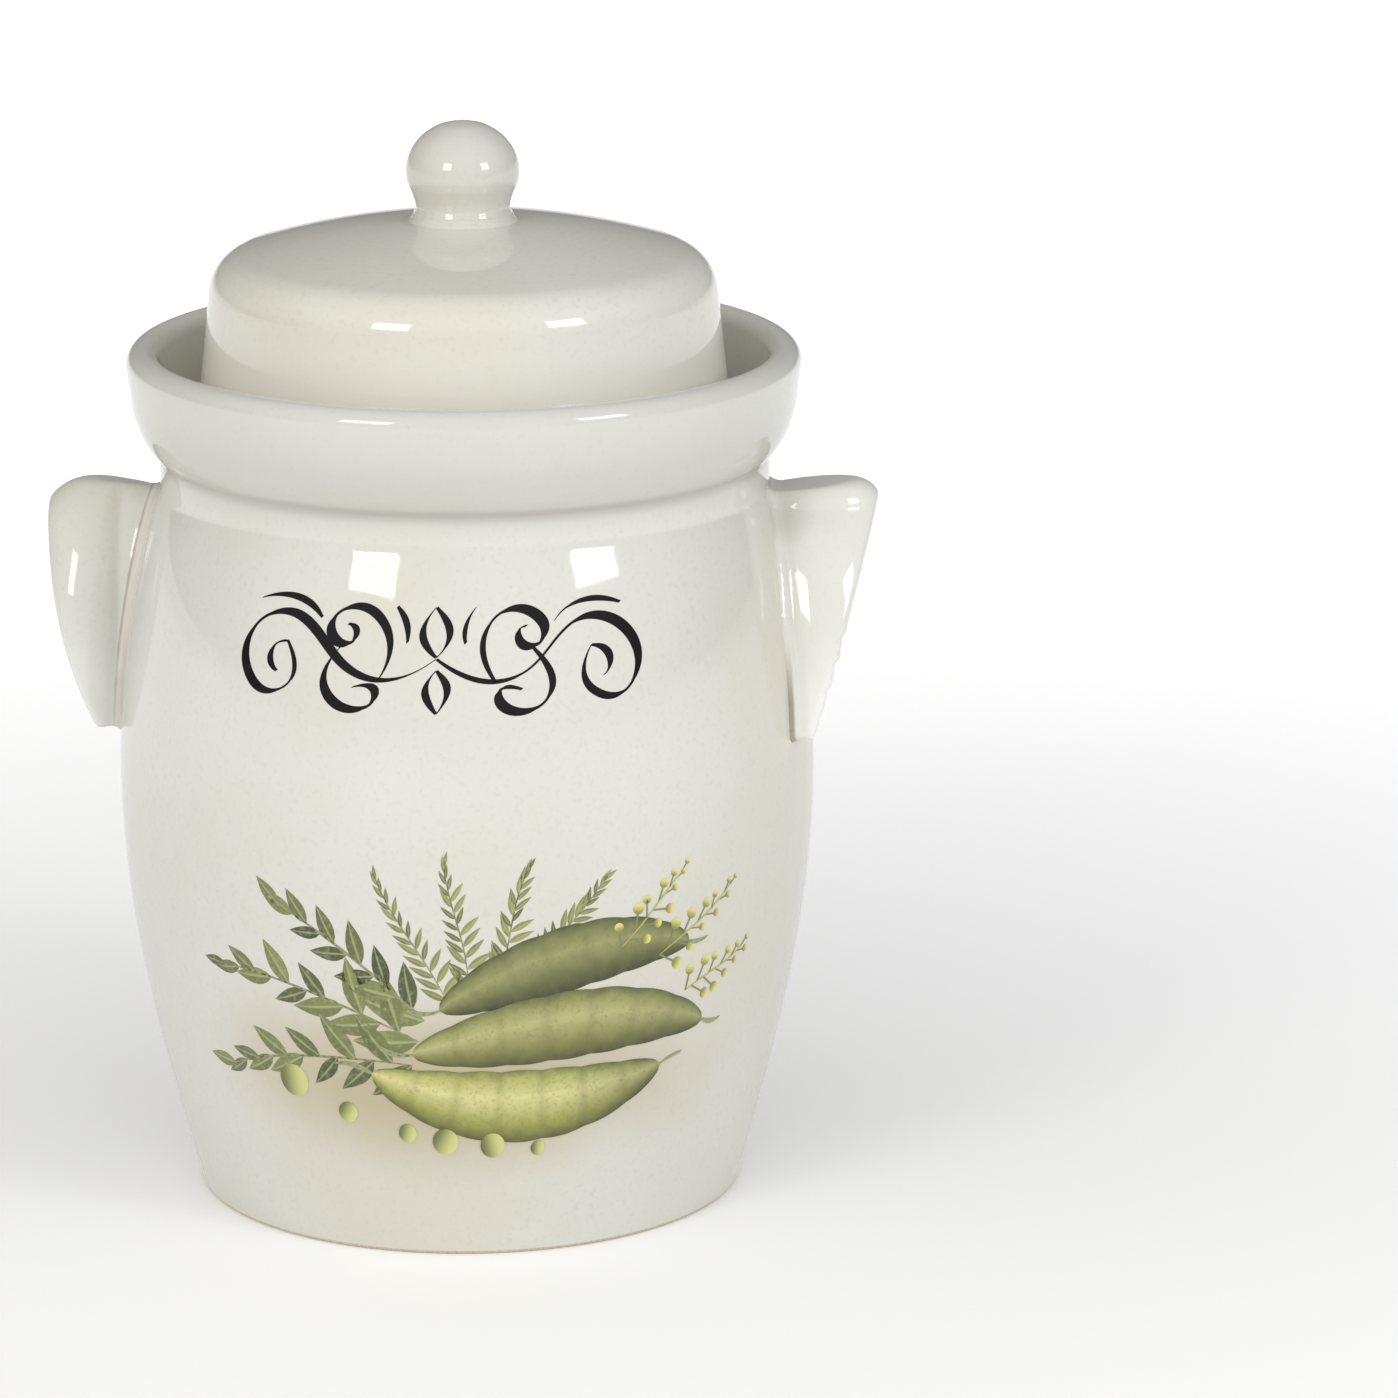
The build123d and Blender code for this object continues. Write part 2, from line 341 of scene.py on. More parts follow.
def grown(name, data, tree, sizes):
    """A piece of plain mesh: what a tree makes of a mesh or a curve."""
    source = bpy.data.objects.new(f"{name}_source", data)
    bpy.context.collection.objects.link(source)
    modifier = source.modifiers.new(tree.name, "NODES")
    modifier.node_group = tree
    for socket in tree.interface.items_tree:
        if socket.in_out == "INPUT" and socket.name in sizes:
            modifier[socket.identifier] = sizes[socket.name]
    bpy.context.view_layer.update()
    shaped = source.evaluated_get(bpy.context.evaluated_depsgraph_get())
    piece = bpy.data.objects.new(name, bpy.data.meshes.new_from_object(shaped))
    bpy.data.objects.remove(source)
    piece.data.name = name
    dress = piece.data.materials[-1]
    piece.data.materials.clear()
    piece.data.materials.append(dress)
    piece.data.polygons.foreach_set("material_index", [0] * len(piece.data.polygons))
    bpy.context.collection.objects.link(piece)
    return piece


def lathe_tree(material):
    """Turns an outline, whose points give radius as x and height as z, round the jar's axis."""
    wires = start_tree("lathe", {"Columns": "Int", "Wave": "Float", "Wave size": "Float", "Seed": "Float"})
    outline, columns = wires["Geometry"], wires["Columns"]
    rows = outline.node("GeometryNodeAttributeDomainSize", {}, {"Geometry": outline}, "Point Count")
    sheet = {"Vertices X": rows, "Vertices Y": columns + 1}
    grid = outline.node("GeometryNodeMeshGrid", {}, sheet, "Mesh")
    index = outline.node("GeometryNodeInputIndex", {}, {})
    row = ((index + 0.5) / (columns + 1)).maths("FLOOR")
    turn = (row * (columns + 1) - index) / columns * (2 * pi)
    place = outline.node("GeometryNodeInputPosition", {}, {})
    taken = {"Geometry": outline, "Value": place, "Index": row}
    point = outline.node("GeometryNodeSampleIndex", {"data_type": "FLOAT_VECTOR"}, taken)
    reach, _, height = point.parts()
    east, north = turn.maths("COSINE"), turn.maths("SINE")
    true_place = vector(reach * east, reach * north, height)
    swell = {"Vector": true_place, "W": wires["Seed"], "Scale": 1 / wires["Wave size"], "Detail": 1.0}
    hand = true_place.node("ShaderNodeTexNoise", {"noise_dimensions": "4D"}, swell)
    reach = reach * (1 + (hand - 0.5) * wires["Wave"])
    moved = {"Geometry": grid, "Position": vector(reach * east, reach * north, height)}
    round_piece = grid.node("GeometryNodeSetPosition", {}, moved)
    closed = grid.node("GeometryNodeMergeByDistance", {}, {"Geometry": round_piece, "Distance": weld})
    smooth = grid.node("GeometryNodeSetShadeSmooth", {}, {"Geometry": closed})
    return end_tree(smooth, material)


def outline_of(node):
    """The closed outline of a turned CAD node in its half plane y = 0, from the axis where it meets it."""
    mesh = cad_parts[node].data
    spots = {}
    for corner in mesh.vertices:
        x, y, z = corner.co
        if abs(y) < on_plane and x > -on_plane:
            spots[corner.index] = (round(x, 6), round(z, 6))
    links = {spot: set() for spot in spots.values()}
    for a, b in (edge.vertices for edge in mesh.edges):
        if a in spots and b in spots and spots[a] != spots[b]:
            links[spots[a]].add(spots[b])
            links[spots[b]].add(spots[a])
    loose = sorted((spot for spot in links if len(links[spot]) == 1), key=lambda spot: spot[1])
    while loose:
        spot = loose.pop(0)
        level = [other for other in loose if abs(other[1] - spot[1]) < same_spot]
        other = level[0] if level else (0.0, spot[1])
        if level:
            loose.remove(other)
        links[spot].add(other)
        links.setdefault(other, set()).add(spot)
    start = min(links, key=lambda spot: (spot[0], spot[1]))
    walk = [start]
    step = max(links[start])
    while step not in (None, start):
        walk.append(step)
        step = next((spot for spot in links[step] if spot not in walk[1:] and spot != walk[-2]), None)
    return walk if start[0] == 0 else [*walk, start]


def turned_piece(name, node, material, sizes, outline):
    """A lathed piece of this outline in the place of a turned CAD node."""
    points = [(reach, 0, height) for reach, height in outline]
    line = bpy.data.meshes.new(f"{name}_outline")
    line.from_pydata(points, [(i, i + 1) for i in range(len(points) - 1)], [])
    piece = grown(name, line, lathe_tree(material), sizes)
    piece.data.set_sharp_from_angle(angle=turned_edge)
    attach(piece, "lid" if node.startswith("lid") else "crock")
    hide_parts(node)
    return piece


crock_glaze = fired("crock_cream_glaze", crock_colour)
wheel = {"Columns": barrel_columns, "Wave": barrel_wave, "Wave size": barrel_wave_size, "Seed": 2.0}
barrel = turned_piece("barrel", "crock_body", crock_glaze, wheel, outline_of("crock_body"))


# Rim ring. A turned band with a rounded lip, the water channel and the inner collar, luted on the
# barrel's shoulder while both are wet, and glazed with it. The finger that smoothed the joint has
# pressed a tight crease under the ring.
rim_wave = 0.0010
rim_wave_size = 0.04
crease_height = 0.2032
crease_depth = 0.0016
crease_fade = 0.0032
neck_radius = 0.0821
neck_slack = 0.0001
flare_top = 0.216
ring_steps = 5
wheel = {"Columns": barrel_columns, "Wave": rim_wave, "Wave size": rim_wave_size, "Seed": 5.0}
ring_walk = outline_of("channel_rim")
ring_outline = []
for (reach, height), (next_reach, next_height) in zip(ring_walk, [*ring_walk[1:], ring_walk[-1]]):
    flare = min(reach, next_reach) > neck_radius - neck_slack and max(height, next_height) < flare_top
    for step in range(ring_steps if flare else 1):
        out = reach + (next_reach - reach) * step / ring_steps
        up = height + (next_height - height) * step / ring_steps
        if flare:
            out = max(neck_radius, out - crease_depth * exp((crease_height - up) / crease_fade))
        ring_outline.append((out, up))
rim_ring = turned_piece("rim_ring", "channel_rim", crock_glaze, wheel, ring_outline)


# Hoods. Each lug is half of a small cup, pinched narrower at its root and luted on the barrel with
# a hand-smoothed fillet of slip. They start from the CAD solids, which hold their place and reach.
hood_grain = 0.0005
cad_smoothing = 10
shape_smoothing = 6
slip_smoothing = 3
luting_radius = 0.0033
luting_sink = 0.0004
luting_turn = (0.15, 0.6)
least_turn = 0.01
valley_run = (0.0007, 0.0039)
ripple_waves = (900, 1700, 300)
lip_reach = (0.006, 0.012)
lip_height = (0.164, 0.156)
lip_out = (0.0, 0.012)
least_half = 0.3
least_section = 0.8
dome_limits = (0.5, 1.1)
bulge_stop = 0.999
arch_stop = 0.97
brow_stop = 0.98

left_to_right = (-0.02, 0.02)
root_shade_spot = (0.0865, -0.019, 0.1925)
root_shade_run = (0.002, 0.0125)
painted_lift_height = (0.138, 0.165)
joint_shade_height = (0.14, 0.16)
slip_valley = (0.6, 0.85)
valley_shade_start = (0.4, 0.55)
valley_shade_end = (0.65, 0.85)
joint_shade_valley = (0.75, 1.0)
slip_patch_size = 0.01
# White for painted light, the slip's own pink, and browns and grey for painted shade.
painted_lift_white = (238, 239, 235)
slip_pink = (219, 209, 199)
valley_shade_brown = (150, 134, 122)
joint_shade_brown = (132, 122, 98)
root_shade_grey = (168, 163, 142)

outer_wall = outline_of("crock_body")
foot = max((reach, spot) for spot, (reach, height) in enumerate(outer_wall) if height < on_plane)[1]
seam = max((height, reach, spot) for spot, (reach, height) in enumerate(outer_wall))[2]
outer_wall = np.array(outer_wall[foot : seam + 1])


def eased(value, low, high):
    """A smooth run from 0 at low to 1 at high."""
    share = np.clip((value - low) / (high - low), 0, 1)
    return share * share * (3 - 2 * share)


def softened(values, edges, times):
    """Values at the points of a mesh, evened out with their neighbours."""
    for _ in range(times):
        total = np.zeros_like(values)
        count = np.zeros(len(values))
        for a, b in ((0, 1), (1, 0)):
            np.add.at(total, edges[:, a], values[edges[:, b]])
            np.add.at(count, edges[:, a], 1)
        values = (values + total / count[:, None]) / 2
    return values


def fine_copy(name, node):
    """A closed mesh of small even faces over a CAD node."""
    form = bmesh.new()
    form.from_mesh(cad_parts[node].data)
    bmesh.ops.remove_doubles(form, verts=form.verts, dist=same_spot)
    mesh = bpy.data.meshes.new(f"{name}_solid")
    form.to_mesh(mesh)
    form.free()
    source = bpy.data.objects.new(f"{name}_solid", mesh)
    bpy.context.collection.objects.link(source)
    even = source.modifiers.new("even", "REMESH")
    even.mode = "VOXEL"
    even.voxel_size = hood_grain
    bpy.context.view_layer.update()
    remeshed = source.evaluated_get(bpy.context.evaluated_depsgraph_get())
    fine = bpy.data.meshes.new_from_object(remeshed)
    bpy.data.objects.remove(source)
    fine.name = name
    return fine


def facing(mesh):
    """The outward direction at each point of a mesh."""
    mesh.update()
    way = np.empty(len(mesh.vertices) * 3)
    mesh.vertex_normals.foreach_get("vector", way)
    return way.reshape(-1, 3)


def hood_piece(name, node, side, solid, belly, root, arch, rough_lip):
    """A hood shaped from its solid, whose middle, half width and crown are given. Belly and arch round
    its section and its crown, root is how narrow it gets at the barrel, and rough_lip is how uneven
    its free edge is."""
    mesh = fine_copy(name, node)
    points = np.empty(len(mesh.vertices) * 3)
    mesh.vertices.foreach_get("co", points)
    points = points.reshape(-1, 3)
    edges = np.array([edge.vertices[:] for edge in mesh.edges])
    points = softened(points, edges, cad_smoothing)

    solid_middle, half, crown = solid
    out = side * points[:, 0] - solid_middle
    widest = np.maximum(half**2 - out**2, (half * least_half) ** 2) ** 0.5
    middle, depth = belly
    bulge = np.clip((out - middle) / depth, -bulge_stop, bulge_stop)
    section = half * (1 - bulge**2) ** 0.5
    section = np.where(out < middle, np.maximum(section, root), section)
    section = np.where(out > middle, np.maximum(section, widest * least_section), section)
    arch_foot, arch_rise, brow = arch
    rise = np.clip((points[:, 2] - arch_foot) / arch_rise, 0, arch_stop)
    dome = (1 - rise**2) ** 0.5
    over_brow = np.clip((points[:, 2] - (crown - brow)) / brow, 0, brow_stop)
    solid_dome = 1 - brow / half * (1 - (1 - over_brow**2) ** 0.5)
    points[:, 1] *= section / widest * np.clip(dome / solid_dome, *dome_limits)
    points = softened(points, edges, shape_smoothing)

    mesh.vertices.foreach_set("co", points.ravel())
    normal = facing(mesh)
    reach = np.hypot(points[:, 0], points[:, 1])
    wall = np.interp(points[:, 2], outer_wall[:, 1], outer_wall[:, 0])
    gap = np.clip(reach - wall, 0, luting_radius)
    lean = np.gradient(outer_wall[:, 0], outer_wall[:, 1])
    lean = np.interp(points[:, 2], outer_wall[:, 1], lean)
    away = np.stack([points[:, 0] / reach, points[:, 1] / reach, -lean], axis=1)
    away /= np.linalg.norm(away, axis=1)[:, None]
    along_wall = normal - (normal * away).sum(axis=1)[:, None] * away
    length = np.linalg.norm(along_wall, axis=1)
    along_wall *= (eased(length, *luting_turn) / np.maximum(length, least_turn))[:, None]
    flare_out = luting_radius - (luting_radius**2 - (luting_radius - gap) ** 2) ** 0.5
    slip = softened(along_wall * flare_out[:, None], edges, slip_smoothing)
    points = points + slip - away * (luting_sink * (1 - gap / luting_radius) ** 2)[:, None]

    if rough_lip:
        _, y, z = points.T
        long_wave, short_wave, slant = ripple_waves
        ripple = np.sin(z * long_wave + 1.0) + 0.6 * np.sin(z * short_wave + y * slant)
        lip = eased(reach - wall, *lip_reach) * eased(z, *lip_height) * eased(out, *lip_out)
        points[:, 0] += side * rough_lip * ripple * lip
    mesh.vertices.foreach_set("co", points.ravel())
    mesh.update()
    mesh.shade_smooth()
    valley = mesh.attributes.new("valley", "FLOAT", "POINT")
    valley.data.foreach_set("value", 1 - eased(reach - wall, *valley_run))
    mesh.materials.clear()
    mesh.materials.append(hood_glaze)
    piece = bpy.data.objects.new(name, mesh)
    bpy.context.collection.objects.link(piece)
    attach(piece, "crock")
    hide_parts(node)
    return piece


def hood_colour(place):
    """Cream glaze, painted lighter low down and on the right hood, pinker on the slip of the joint, with
    painted shade in the crease beside the slip, at the joint's foot and at the right hood's upper root."""
    valley = place.node("ShaderNodeAttribute", {"attribute_name": "valley"}, {}, "Fac")
    uneven = clouds(place, slip_patch_size, 2.0, 17.0).ramp(0.3, 0.7, 0.3, 0.75)
    x, _, z = place.parts()
    # Painted light: the hoods made whiter low down, and the right hood whiter overall.
    painted_lift = z.ramp(*painted_lift_height, 0.5, 0.0) + x.ramp(*left_to_right, 0.0, 0.36)
    colour = over(painted_lift, cream(place), srgb(*painted_lift_white))
    slip = valley.ramp(*slip_valley) * uneven * x.ramp(*left_to_right, 1.0, 0.4)
    colour = over(slip, colour, srgb(*slip_pink))
    # Painted shade along the crease where the hood wall meets the slip.
    valley_shade_line = valley.ramp(*valley_shade_start) * valley.ramp(*valley_shade_end, 1.0, 0.0)
    valley_shade_line = valley_shade_line * x.ramp(*left_to_right, 0.9, 0.15)
    colour = over(valley_shade_line * uneven, colour, srgb(*valley_shade_brown))
    # Painted shade in the crease at the joint's foot, low down and strongest on the right hood.
    joint = valley.ramp(*joint_shade_valley) * z.ramp(*joint_shade_height, 0.8, 0.0)
    joint = joint * x.ramp(*left_to_right, 0.35, 1.0)
    colour = over(joint, colour, srgb(*joint_shade_brown))
    # Painted shade at the right hood's upper root, under the rim's overhang.
    ends = {0: place, 1: root_shade_spot}
    away = place.node("ShaderNodeVectorMath", {"operation": "DISTANCE"}, ends, "Value")
    return over(away.ramp(*root_shade_run, 0.85, 0.0), colour, srgb(*root_shade_grey))


hood_glaze = fired("hood_cream_glaze", hood_colour)
hood_piece(
    "hood_left",
    "handle_left",
    side=-1,
    solid=(0.0934, 0.021, 0.1934),
    belly=(0.0077, 0.0133),
    root=0.0165,
    arch=(0.150, 0.0445, 0.0143),
    rough_lip=0,
)
hood_piece(
    "hood_right",
    "handle_right",
    side=1,
    solid=(0.0886, 0.0265, 0.1947),
    belly=(0.006, 0.0205),
    root=0.0235,
    arch=(0.152, 0.0436, 0.0074),
    rough_lip=0.00035,
)


# Flourish. A scroll of black brush strokes printed on the front, under the clear gloss. Each stroke
# is a flat nib drawn along its curve, and the print lies on the barrel as a film.
flourish_turn = radians(0.4)
flourish_height = 0.1675
nib_angle = radians(38)
nib_width = 0.0027
hairline = 0.0006
nib_lift = 0.3
nib_press = 0.9
nib_ease = 0.7
pen_step = 0.0007
curve_steps = 24
print_radius = 0.094
print_edge = radians(40)
film_back = 0.0003
film_rise = 0.00006
layer_rise = 0.00003
film_weld = 0.000001
ink_black = (8, 7, 6)
ink_dry = (46, 44, 40)
dry_size = 0.0014
dry_run = (0.6, 0.8)
ink_index = 1.35
flourish_strokes = (
    (
        *((-0.1, 0), (-10, -7), (-24, -6), (-32, 4), (-41, 11), (-53, 8)),
        *((-59, -2), (-53, -12), (-44, -12), (-38, -5), (-43, 2)),
    ),
    ((-43, 2), (-49, 2), (-50, -4), (-46, -6)),
    ((-16, -6), (-11, 1), (-14, 11), (-24, 14), (-32, 8), (-28, 2), (-22, 3), (-22, 8), (-25, 8)),
    ((-26, 3), (-33, -4), (-31, -12), (-22, -15), (-15, -11), (-17, -6), (-23, -8)),
    ((-33, 9), (-37, 14), (-45, 15), (-53, 12)),
    ((-0.1, 13), (-5, 8), (-5, 5), (-0.1, 0.4)),
    ((-0.1, -3), (-4, -7), (-4, -9), (-0.1, -14)),
    ((-8, 4), (-7, 9), (-11, 13)),
)


def brush_curves(name, strokes, mirrored=False):
    """Smooth curves in x and z, millimetres on the drawing, pressed harder in their middle."""
    curves = bpy.data.curves.new(name, "CURVE")
    curves.dimensions = "3D"
    for way in (1, -1) if mirrored else (1,):
        for stroke in strokes:
            line = curves.splines.new("NURBS")
            line.points.add(len(stroke) - 1)
            for spot, (point, (x, z)) in enumerate(zip(line.points, stroke)):
                share = spot / (len(stroke) - 1)
                point.co = (way * x / 1000, 0, z / 1000, 1)
                point.radius = nib_lift + nib_press * sin(pi * share) ** nib_ease
            line.order_u = min(4, len(stroke))
            line.use_endpoint_u = True
            line.resolution_u = curve_steps
    return curves


def named(geometry, title, value, domain="POINT"):
    """The same geometry with a value kept on it under a name."""
    settings = {"data_type": "FLOAT", "domain": domain}
    values = {"Geometry": geometry, "Name": title, "Value": value}
    return geometry.node("GeometryNodeStoreNamedAttribute", settings, values)


def kept(wire, title):
    """The value that was kept under this name."""
    return wire.node("GeometryNodeInputNamedAttribute", {"data_type": "FLOAT"}, {"Name": title})


def nib_ribbons(curves, width, hair, angle):
    """Flat strokes of a nib held at one angle, no thinner than a hair."""
    pressed = named(curves, "press", curves.node("GeometryNodeInputRadius", {}, {}))
    steps = {"Curve": pressed, "Length": pen_step}
    fine = curves.node("GeometryNodeResampleCurve", {"mode": "LENGTH"}, steps)
    line = curves.node("GeometryNodeCurveToMesh", {}, {"Curve": fine})
    press = kept(curves, "press")
    ribbons = []
    for wide, held in ((width, angle), (hair, angle + pi / 2)):
        nib = (press * wide * cos(held), press * wide * sin(held))
        start = vector(nib[0] * -0.5, 0.0, nib[1] * -0.5)
        moved = curves.node("GeometryNodeSetPosition", {}, {"Geometry": line, "Offset": start})
        drawn = {"Mesh": moved, "Offset": vector(nib[0], 0.0, nib[1])}
        ribbons.append(curves.node("GeometryNodeExtrudeMesh", {"mode": "EDGES"}, drawn))
    return curves.node("GeometryNodeJoinGeometry", {}, {"Geometry": ribbons})


def printed(flat, turn, height, layer):
    """Flat work in x and z as a closed film on the barrel, its middle at this turn and height."""
    flat = flat.node("GeometryNodeRealizeInstances", {}, {"Geometry": flat})
    aside = flat.node("GeometryNodeInputNormal", {}, {}).parts()[1].maths("GREATER_THAN", 0.0)
    flat = flat.node("GeometryNodeFlipFaces", {}, {"Mesh": flat, "Selection": aside})
    thickness = film_back + film_rise + layer * layer_rise
    face = {"Mesh": flat, "Offset": (0, -1, 0), "Offset Scale": thickness, "Individual": False}
    face = flat.node("GeometryNodeExtrudeMesh", {"mode": "FACES"}, face)
    back = flat.node("GeometryNodeFlipFaces", {}, {"Mesh": flat})
    film = flat.node("GeometryNodeJoinGeometry", {}, {"Geometry": [face, back]})
    film = flat.node("GeometryNodeMergeByDistance", {}, {"Geometry": film, "Distance": film_weld})
    relative = {"transform_space": "RELATIVE"}
    skin = flat.node("GeometryNodeObjectInfo", relative, {"Object": barrel}, "Geometry")
    across, depth, up = flat.node("GeometryNodeInputPosition", {}, {}).parts()
    angle = across / print_radius + turn
    east, north = angle.maths("SINE"), angle.maths("COSINE")
    outside = 2 * print_radius
    begin = vector(east * outside, north * -outside, up + height)
    inwards = vector(0 - east, north, 0.0)
    ray = {"Target Geometry": skin, "Source Position": begin, "Ray Direction": inwards}
    met = flat.node("GeometryNodeRaycast", {}, ray, "Hit Position")
    level = Wire(flat.tree, met.socket.node.outputs["Hit Normal"])
    raised = {0: level, "Scale": 0 - (depth + film_back)}
    raised = flat.node("ShaderNodeVectorMath", {"operation": "SCALE"}, raised)
    place = flat.node("ShaderNodeVectorMath", {"operation": "ADD"}, {0: met, 1: raised})
    film = flat.node("GeometryNodeSetPosition", {}, {"Geometry": film, "Position": place})
    return flat.node("GeometryNodeSetShadeSmooth", {}, {"Geometry": film})


def print_piece(name, curves, tree, sizes):
    """One printed film, fired on the crock."""
    piece = grown(name, curves, tree, sizes)
    piece.data.set_sharp_from_angle(angle=print_edge)
    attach(piece, "crock")


def ink_colour(place):
    """Warm black, a little thin where the brush ran dry."""
    dry = clouds(place, dry_size, 3.0, 23.0).ramp(*dry_run, 0.0, 0.35)
    return over(dry, srgb(*ink_black), srgb(*ink_dry))


def brush_tree(name, material, turn, height, layer):
    """Strokes of a brush, printed at this turn and height."""
    wires = start_tree(name, {"Nib width": "Float", "Hairline": "Float"})
    drawn = nib_ribbons(wires["Geometry"], wires["Nib width"], wires["Hairline"], nib_angle)
    return end_tree(printed(drawn, turn, height, layer), material)


ink = fired("black_under_gloss", ink_colour, index=ink_index)
scroll = brush_curves("flourish_strokes", flourish_strokes, mirrored=True)
brush = brush_tree("brush", ink, flourish_turn, flourish_height, 0.0)
print_piece("flourish", scroll, brush, {"Nib width": nib_width, "Hairline": hairline})


# Picture. Pea pods, leafy sprigs and stems of small yellow buds, printed low on the front in soft
# olive greens over a warm ground. The leaves and buds are set along their stems by rule. Curves are
# in millimetres. A pod has its middle line, half width, layer and ripeness.
picture_turn = radians(4)
pea_count = 7.0
pea_swell = 0.05
pod_rows = 64
pod_columns = 9
pod_weld = 0.00001
pod_bluntness = 0.55
leaf_grid = (5, 8)
leaf_belly = 0.8
leaf_bend = 0.08
berry_corners = 18
tip_closing = 0.8
tip_shrink = 0.45
stray_lean = 0.22
stray_size = 0.18
on_twig = (1.2, 1.6)
pod_tip = (0.55, 1.0)
stroke_size = 0.004
stroke_stray = 0.22
pod_grain_size = 0.0009
leaf_grain_size = 0.0012
stalk_layer = 5.0
stalk_sizes = {"Nib width": 0.0026, "Hairline": 0.0012}
pods = {
    "pod_back": (((-6, 73), (14, 84), (40, 93), (66, 86)), 0.0088, 1.0, 0.10),
    "pod_middle": (((-14, 60), (12, 66), (42, 73), (74, 62)), 0.0094, 3.0, 0.45),
    "pod_front": (((-26, 54), (-4, 43), (28, 41), (60, 52)), 0.0102, 5.0, 0.95),
}
bay_stems = (
    ((-12, 64), (-32, 74), (-52, 80), (-71, 79)),
    ((-14, 57), (-36, 59), (-56, 57), (-73, 50)),
    ((-10, 70), (-24, 84), (-38, 94), (-50, 99)),
)
thyme_stems = (
    ((-4, 76), (-9, 88), (-18, 98), (-22, 109)),
    ((2, 80), (2, 92), (-3, 102), (-4, 113)),
    ((10, 82), (14, 93), (13, 103), (18, 112)),
    ((20, 86), (27, 95), (33, 99), (38, 107)),
)
bud_stems = (
    ((44, 88), (52, 95), (56, 101), (62, 106)),
    ((56, 84), (66, 90), (72, 92), (80, 99)),
    ((66, 72), (74, 76), (80, 76), (87, 80)),
)
stalks = (
    ((-6, 73), (-10, 71), (-15, 73)),
    ((-14, 60), (-19, 59), (-23, 62)),
    ((-26, 54), (-31, 57), (-37, 56)),
    ((66, 86), (69, 85), (72, 86)),
    ((74, 62), (78, 60), (81, 61)),
    ((60, 52), (64, 54), (67, 54)),
)
loose_peas = (((-52, 49), (-43, 43), (-32, 42), (-17, 37)), ((-6, 35), (8, 33), (22, 32)))
dark_pod = (
    *((0.0, (46, 50, 26)), (0.25, (86, 90, 48)), (0.62, (142, 144, 92))),
    *((0.85, (112, 116, 66)), (1.0, (66, 72, 38))),
)
pale_pod = (
    *((0.0, (88, 86, 38)), (0.25, (160, 160, 80)), (0.62, (218, 214, 146))),
    *((0.85, (184, 184, 108)), (1.0, (120, 124, 60))),
)
pod_dimple = (108, 112, 58)
pod_grain = (96, 104, 60)
bay_greens = ((58, 70, 38), (128, 136, 78))
thyme_greens = ((88, 96, 50), (160, 162, 98))
leaf_shade = (66, 76, 44)
leaf_rib = (192, 194, 146)
leaf_grain = (168, 170, 118)
bud_shade = (138, 140, 66)
bud_yellow = (222, 214, 128)
twig_olive = (128, 134, 84)
pea_shade = (98, 104, 50)
pea_green = (204, 206, 134)
growth_inputs = {
    "Count": "Int",
    "Seed": "Int",
    "Leaf length": "Float",
    "Leaf width": "Float",
    "Spread": "Float",
    "Stem": "Float",
}


def pod_tree(material, layer):
    """A plump pod along its middle line, swollen over each pea."""
    wires = start_tree("pod", {"Half width": "Float", "Peas": "Float", "Rows": "Int"})
    middle, rows = wires["Geometry"], wires["Rows"]
    grid = middle.node("GeometryNodeMeshGrid", {}, {"Vertices X": rows, "Vertices Y": pod_columns})
    index = middle.node("GeometryNodeInputIndex", {}, {})
    row = ((index + 0.5) / pod_columns).maths("FLOOR")
    along = row / (rows - 1)
    across = (index - row * pod_columns) / ((pod_columns - 1) / 2) - 1
    grid = named(named(grid, "along", along), "across", across)
    settings = {"mode": "FACTOR", "data_type": "FLOAT"}
    taken = {"Curves": middle, "Factor": along}
    spot = middle.node("GeometryNodeSampleCurve", settings, taken, "Position")
    way_x, _, way_z = Wire(middle.tree, spot.socket.node.outputs["Tangent"]).parts()
    swell = 1 + (along * wires["Peas"] * pi).maths("SINE").maths("ABSOLUTE") * pea_swell
    half = (along * pi).maths("SINE").maths("POWER", pod_bluntness) * wires["Half width"] * swell * across
    x, _, z = spot.parts()
    place = vector(x - half * way_z, 0.0, z + half * way_x)
    flat = middle.node("GeometryNodeSetPosition", {}, {"Geometry": grid, "Position": place})
    flat = middle.node("GeometryNodeMergeByDistance", {}, {"Geometry": flat, "Distance": pod_weld})
    return end_tree(printed(flat, picture_turn, 0.0, layer), material)


def unit_grid(wire, columns, rows):
    """A square of side 1 with this many points."""
    values = {"Size X": 1, "Size Y": 1, "Vertices X": columns, "Vertices Y": rows}
    return wire.node("GeometryNodeMeshGrid", {}, values)


def leaf(wires):
    """One flat pointed leaf, standing along z on its foot."""
    grid, tall = unit_grid(wires["Geometry"], *leaf_grid), wires["Leaf length"]
    x, y, _ = grid.node("GeometryNodeInputPosition", {}, {}).parts()
    along, across = y + 0.5, x * 2
    grid = named(named(grid, "along", along), "across", across)
    half = (along.maths("POWER", leaf_belly) * pi).maths("SINE") * wires["Leaf width"] * 0.5
    place = vector(across * half + along * along * leaf_bend * tall, 0.0, along * tall)
    return grid.node("GeometryNodeSetPosition", {}, {"Geometry": grid, "Position": place})


def berry(wires):
    """One round pea or bud, its foot on the stem."""
    disc = {"Vertices": berry_corners, "Radius": 1.0}
    disc = wires["Geometry"].node("GeometryNodeMeshCircle", {"fill_type": "TRIANGLE_FAN"}, disc)
    x, y, _ = disc.node("GeometryNodeInputPosition", {}, {}).parts()
    disc = named(named(disc, "along", y), "across", x)
    half, tall = wires["Leaf width"] * 0.5, wires["Leaf length"]
    place = vector(x * half, 0.0, y * half + tall)
    return disc.node("GeometryNodeSetPosition", {}, {"Geometry": disc, "Position": place})


def bud(wires):
    """One round bud on a thin twig, standing along z."""
    disc, tall = berry(wires), wires["Leaf length"]
    x, y, _ = disc.node("GeometryNodeInputPosition", {}, {}).parts()
    twig = named(unit_grid(disc, 2, 2), "across", 2.0)
    thin = {"Geometry": twig, "Position": vector(x * wires["Stem"], 0.0, (y + 0.5) * tall)}
    twig = disc.node("GeometryNodeSetPosition", {}, thin)
    return disc.node("GeometryNodeJoinGeometry", {}, {"Geometry": [disc, twig]})


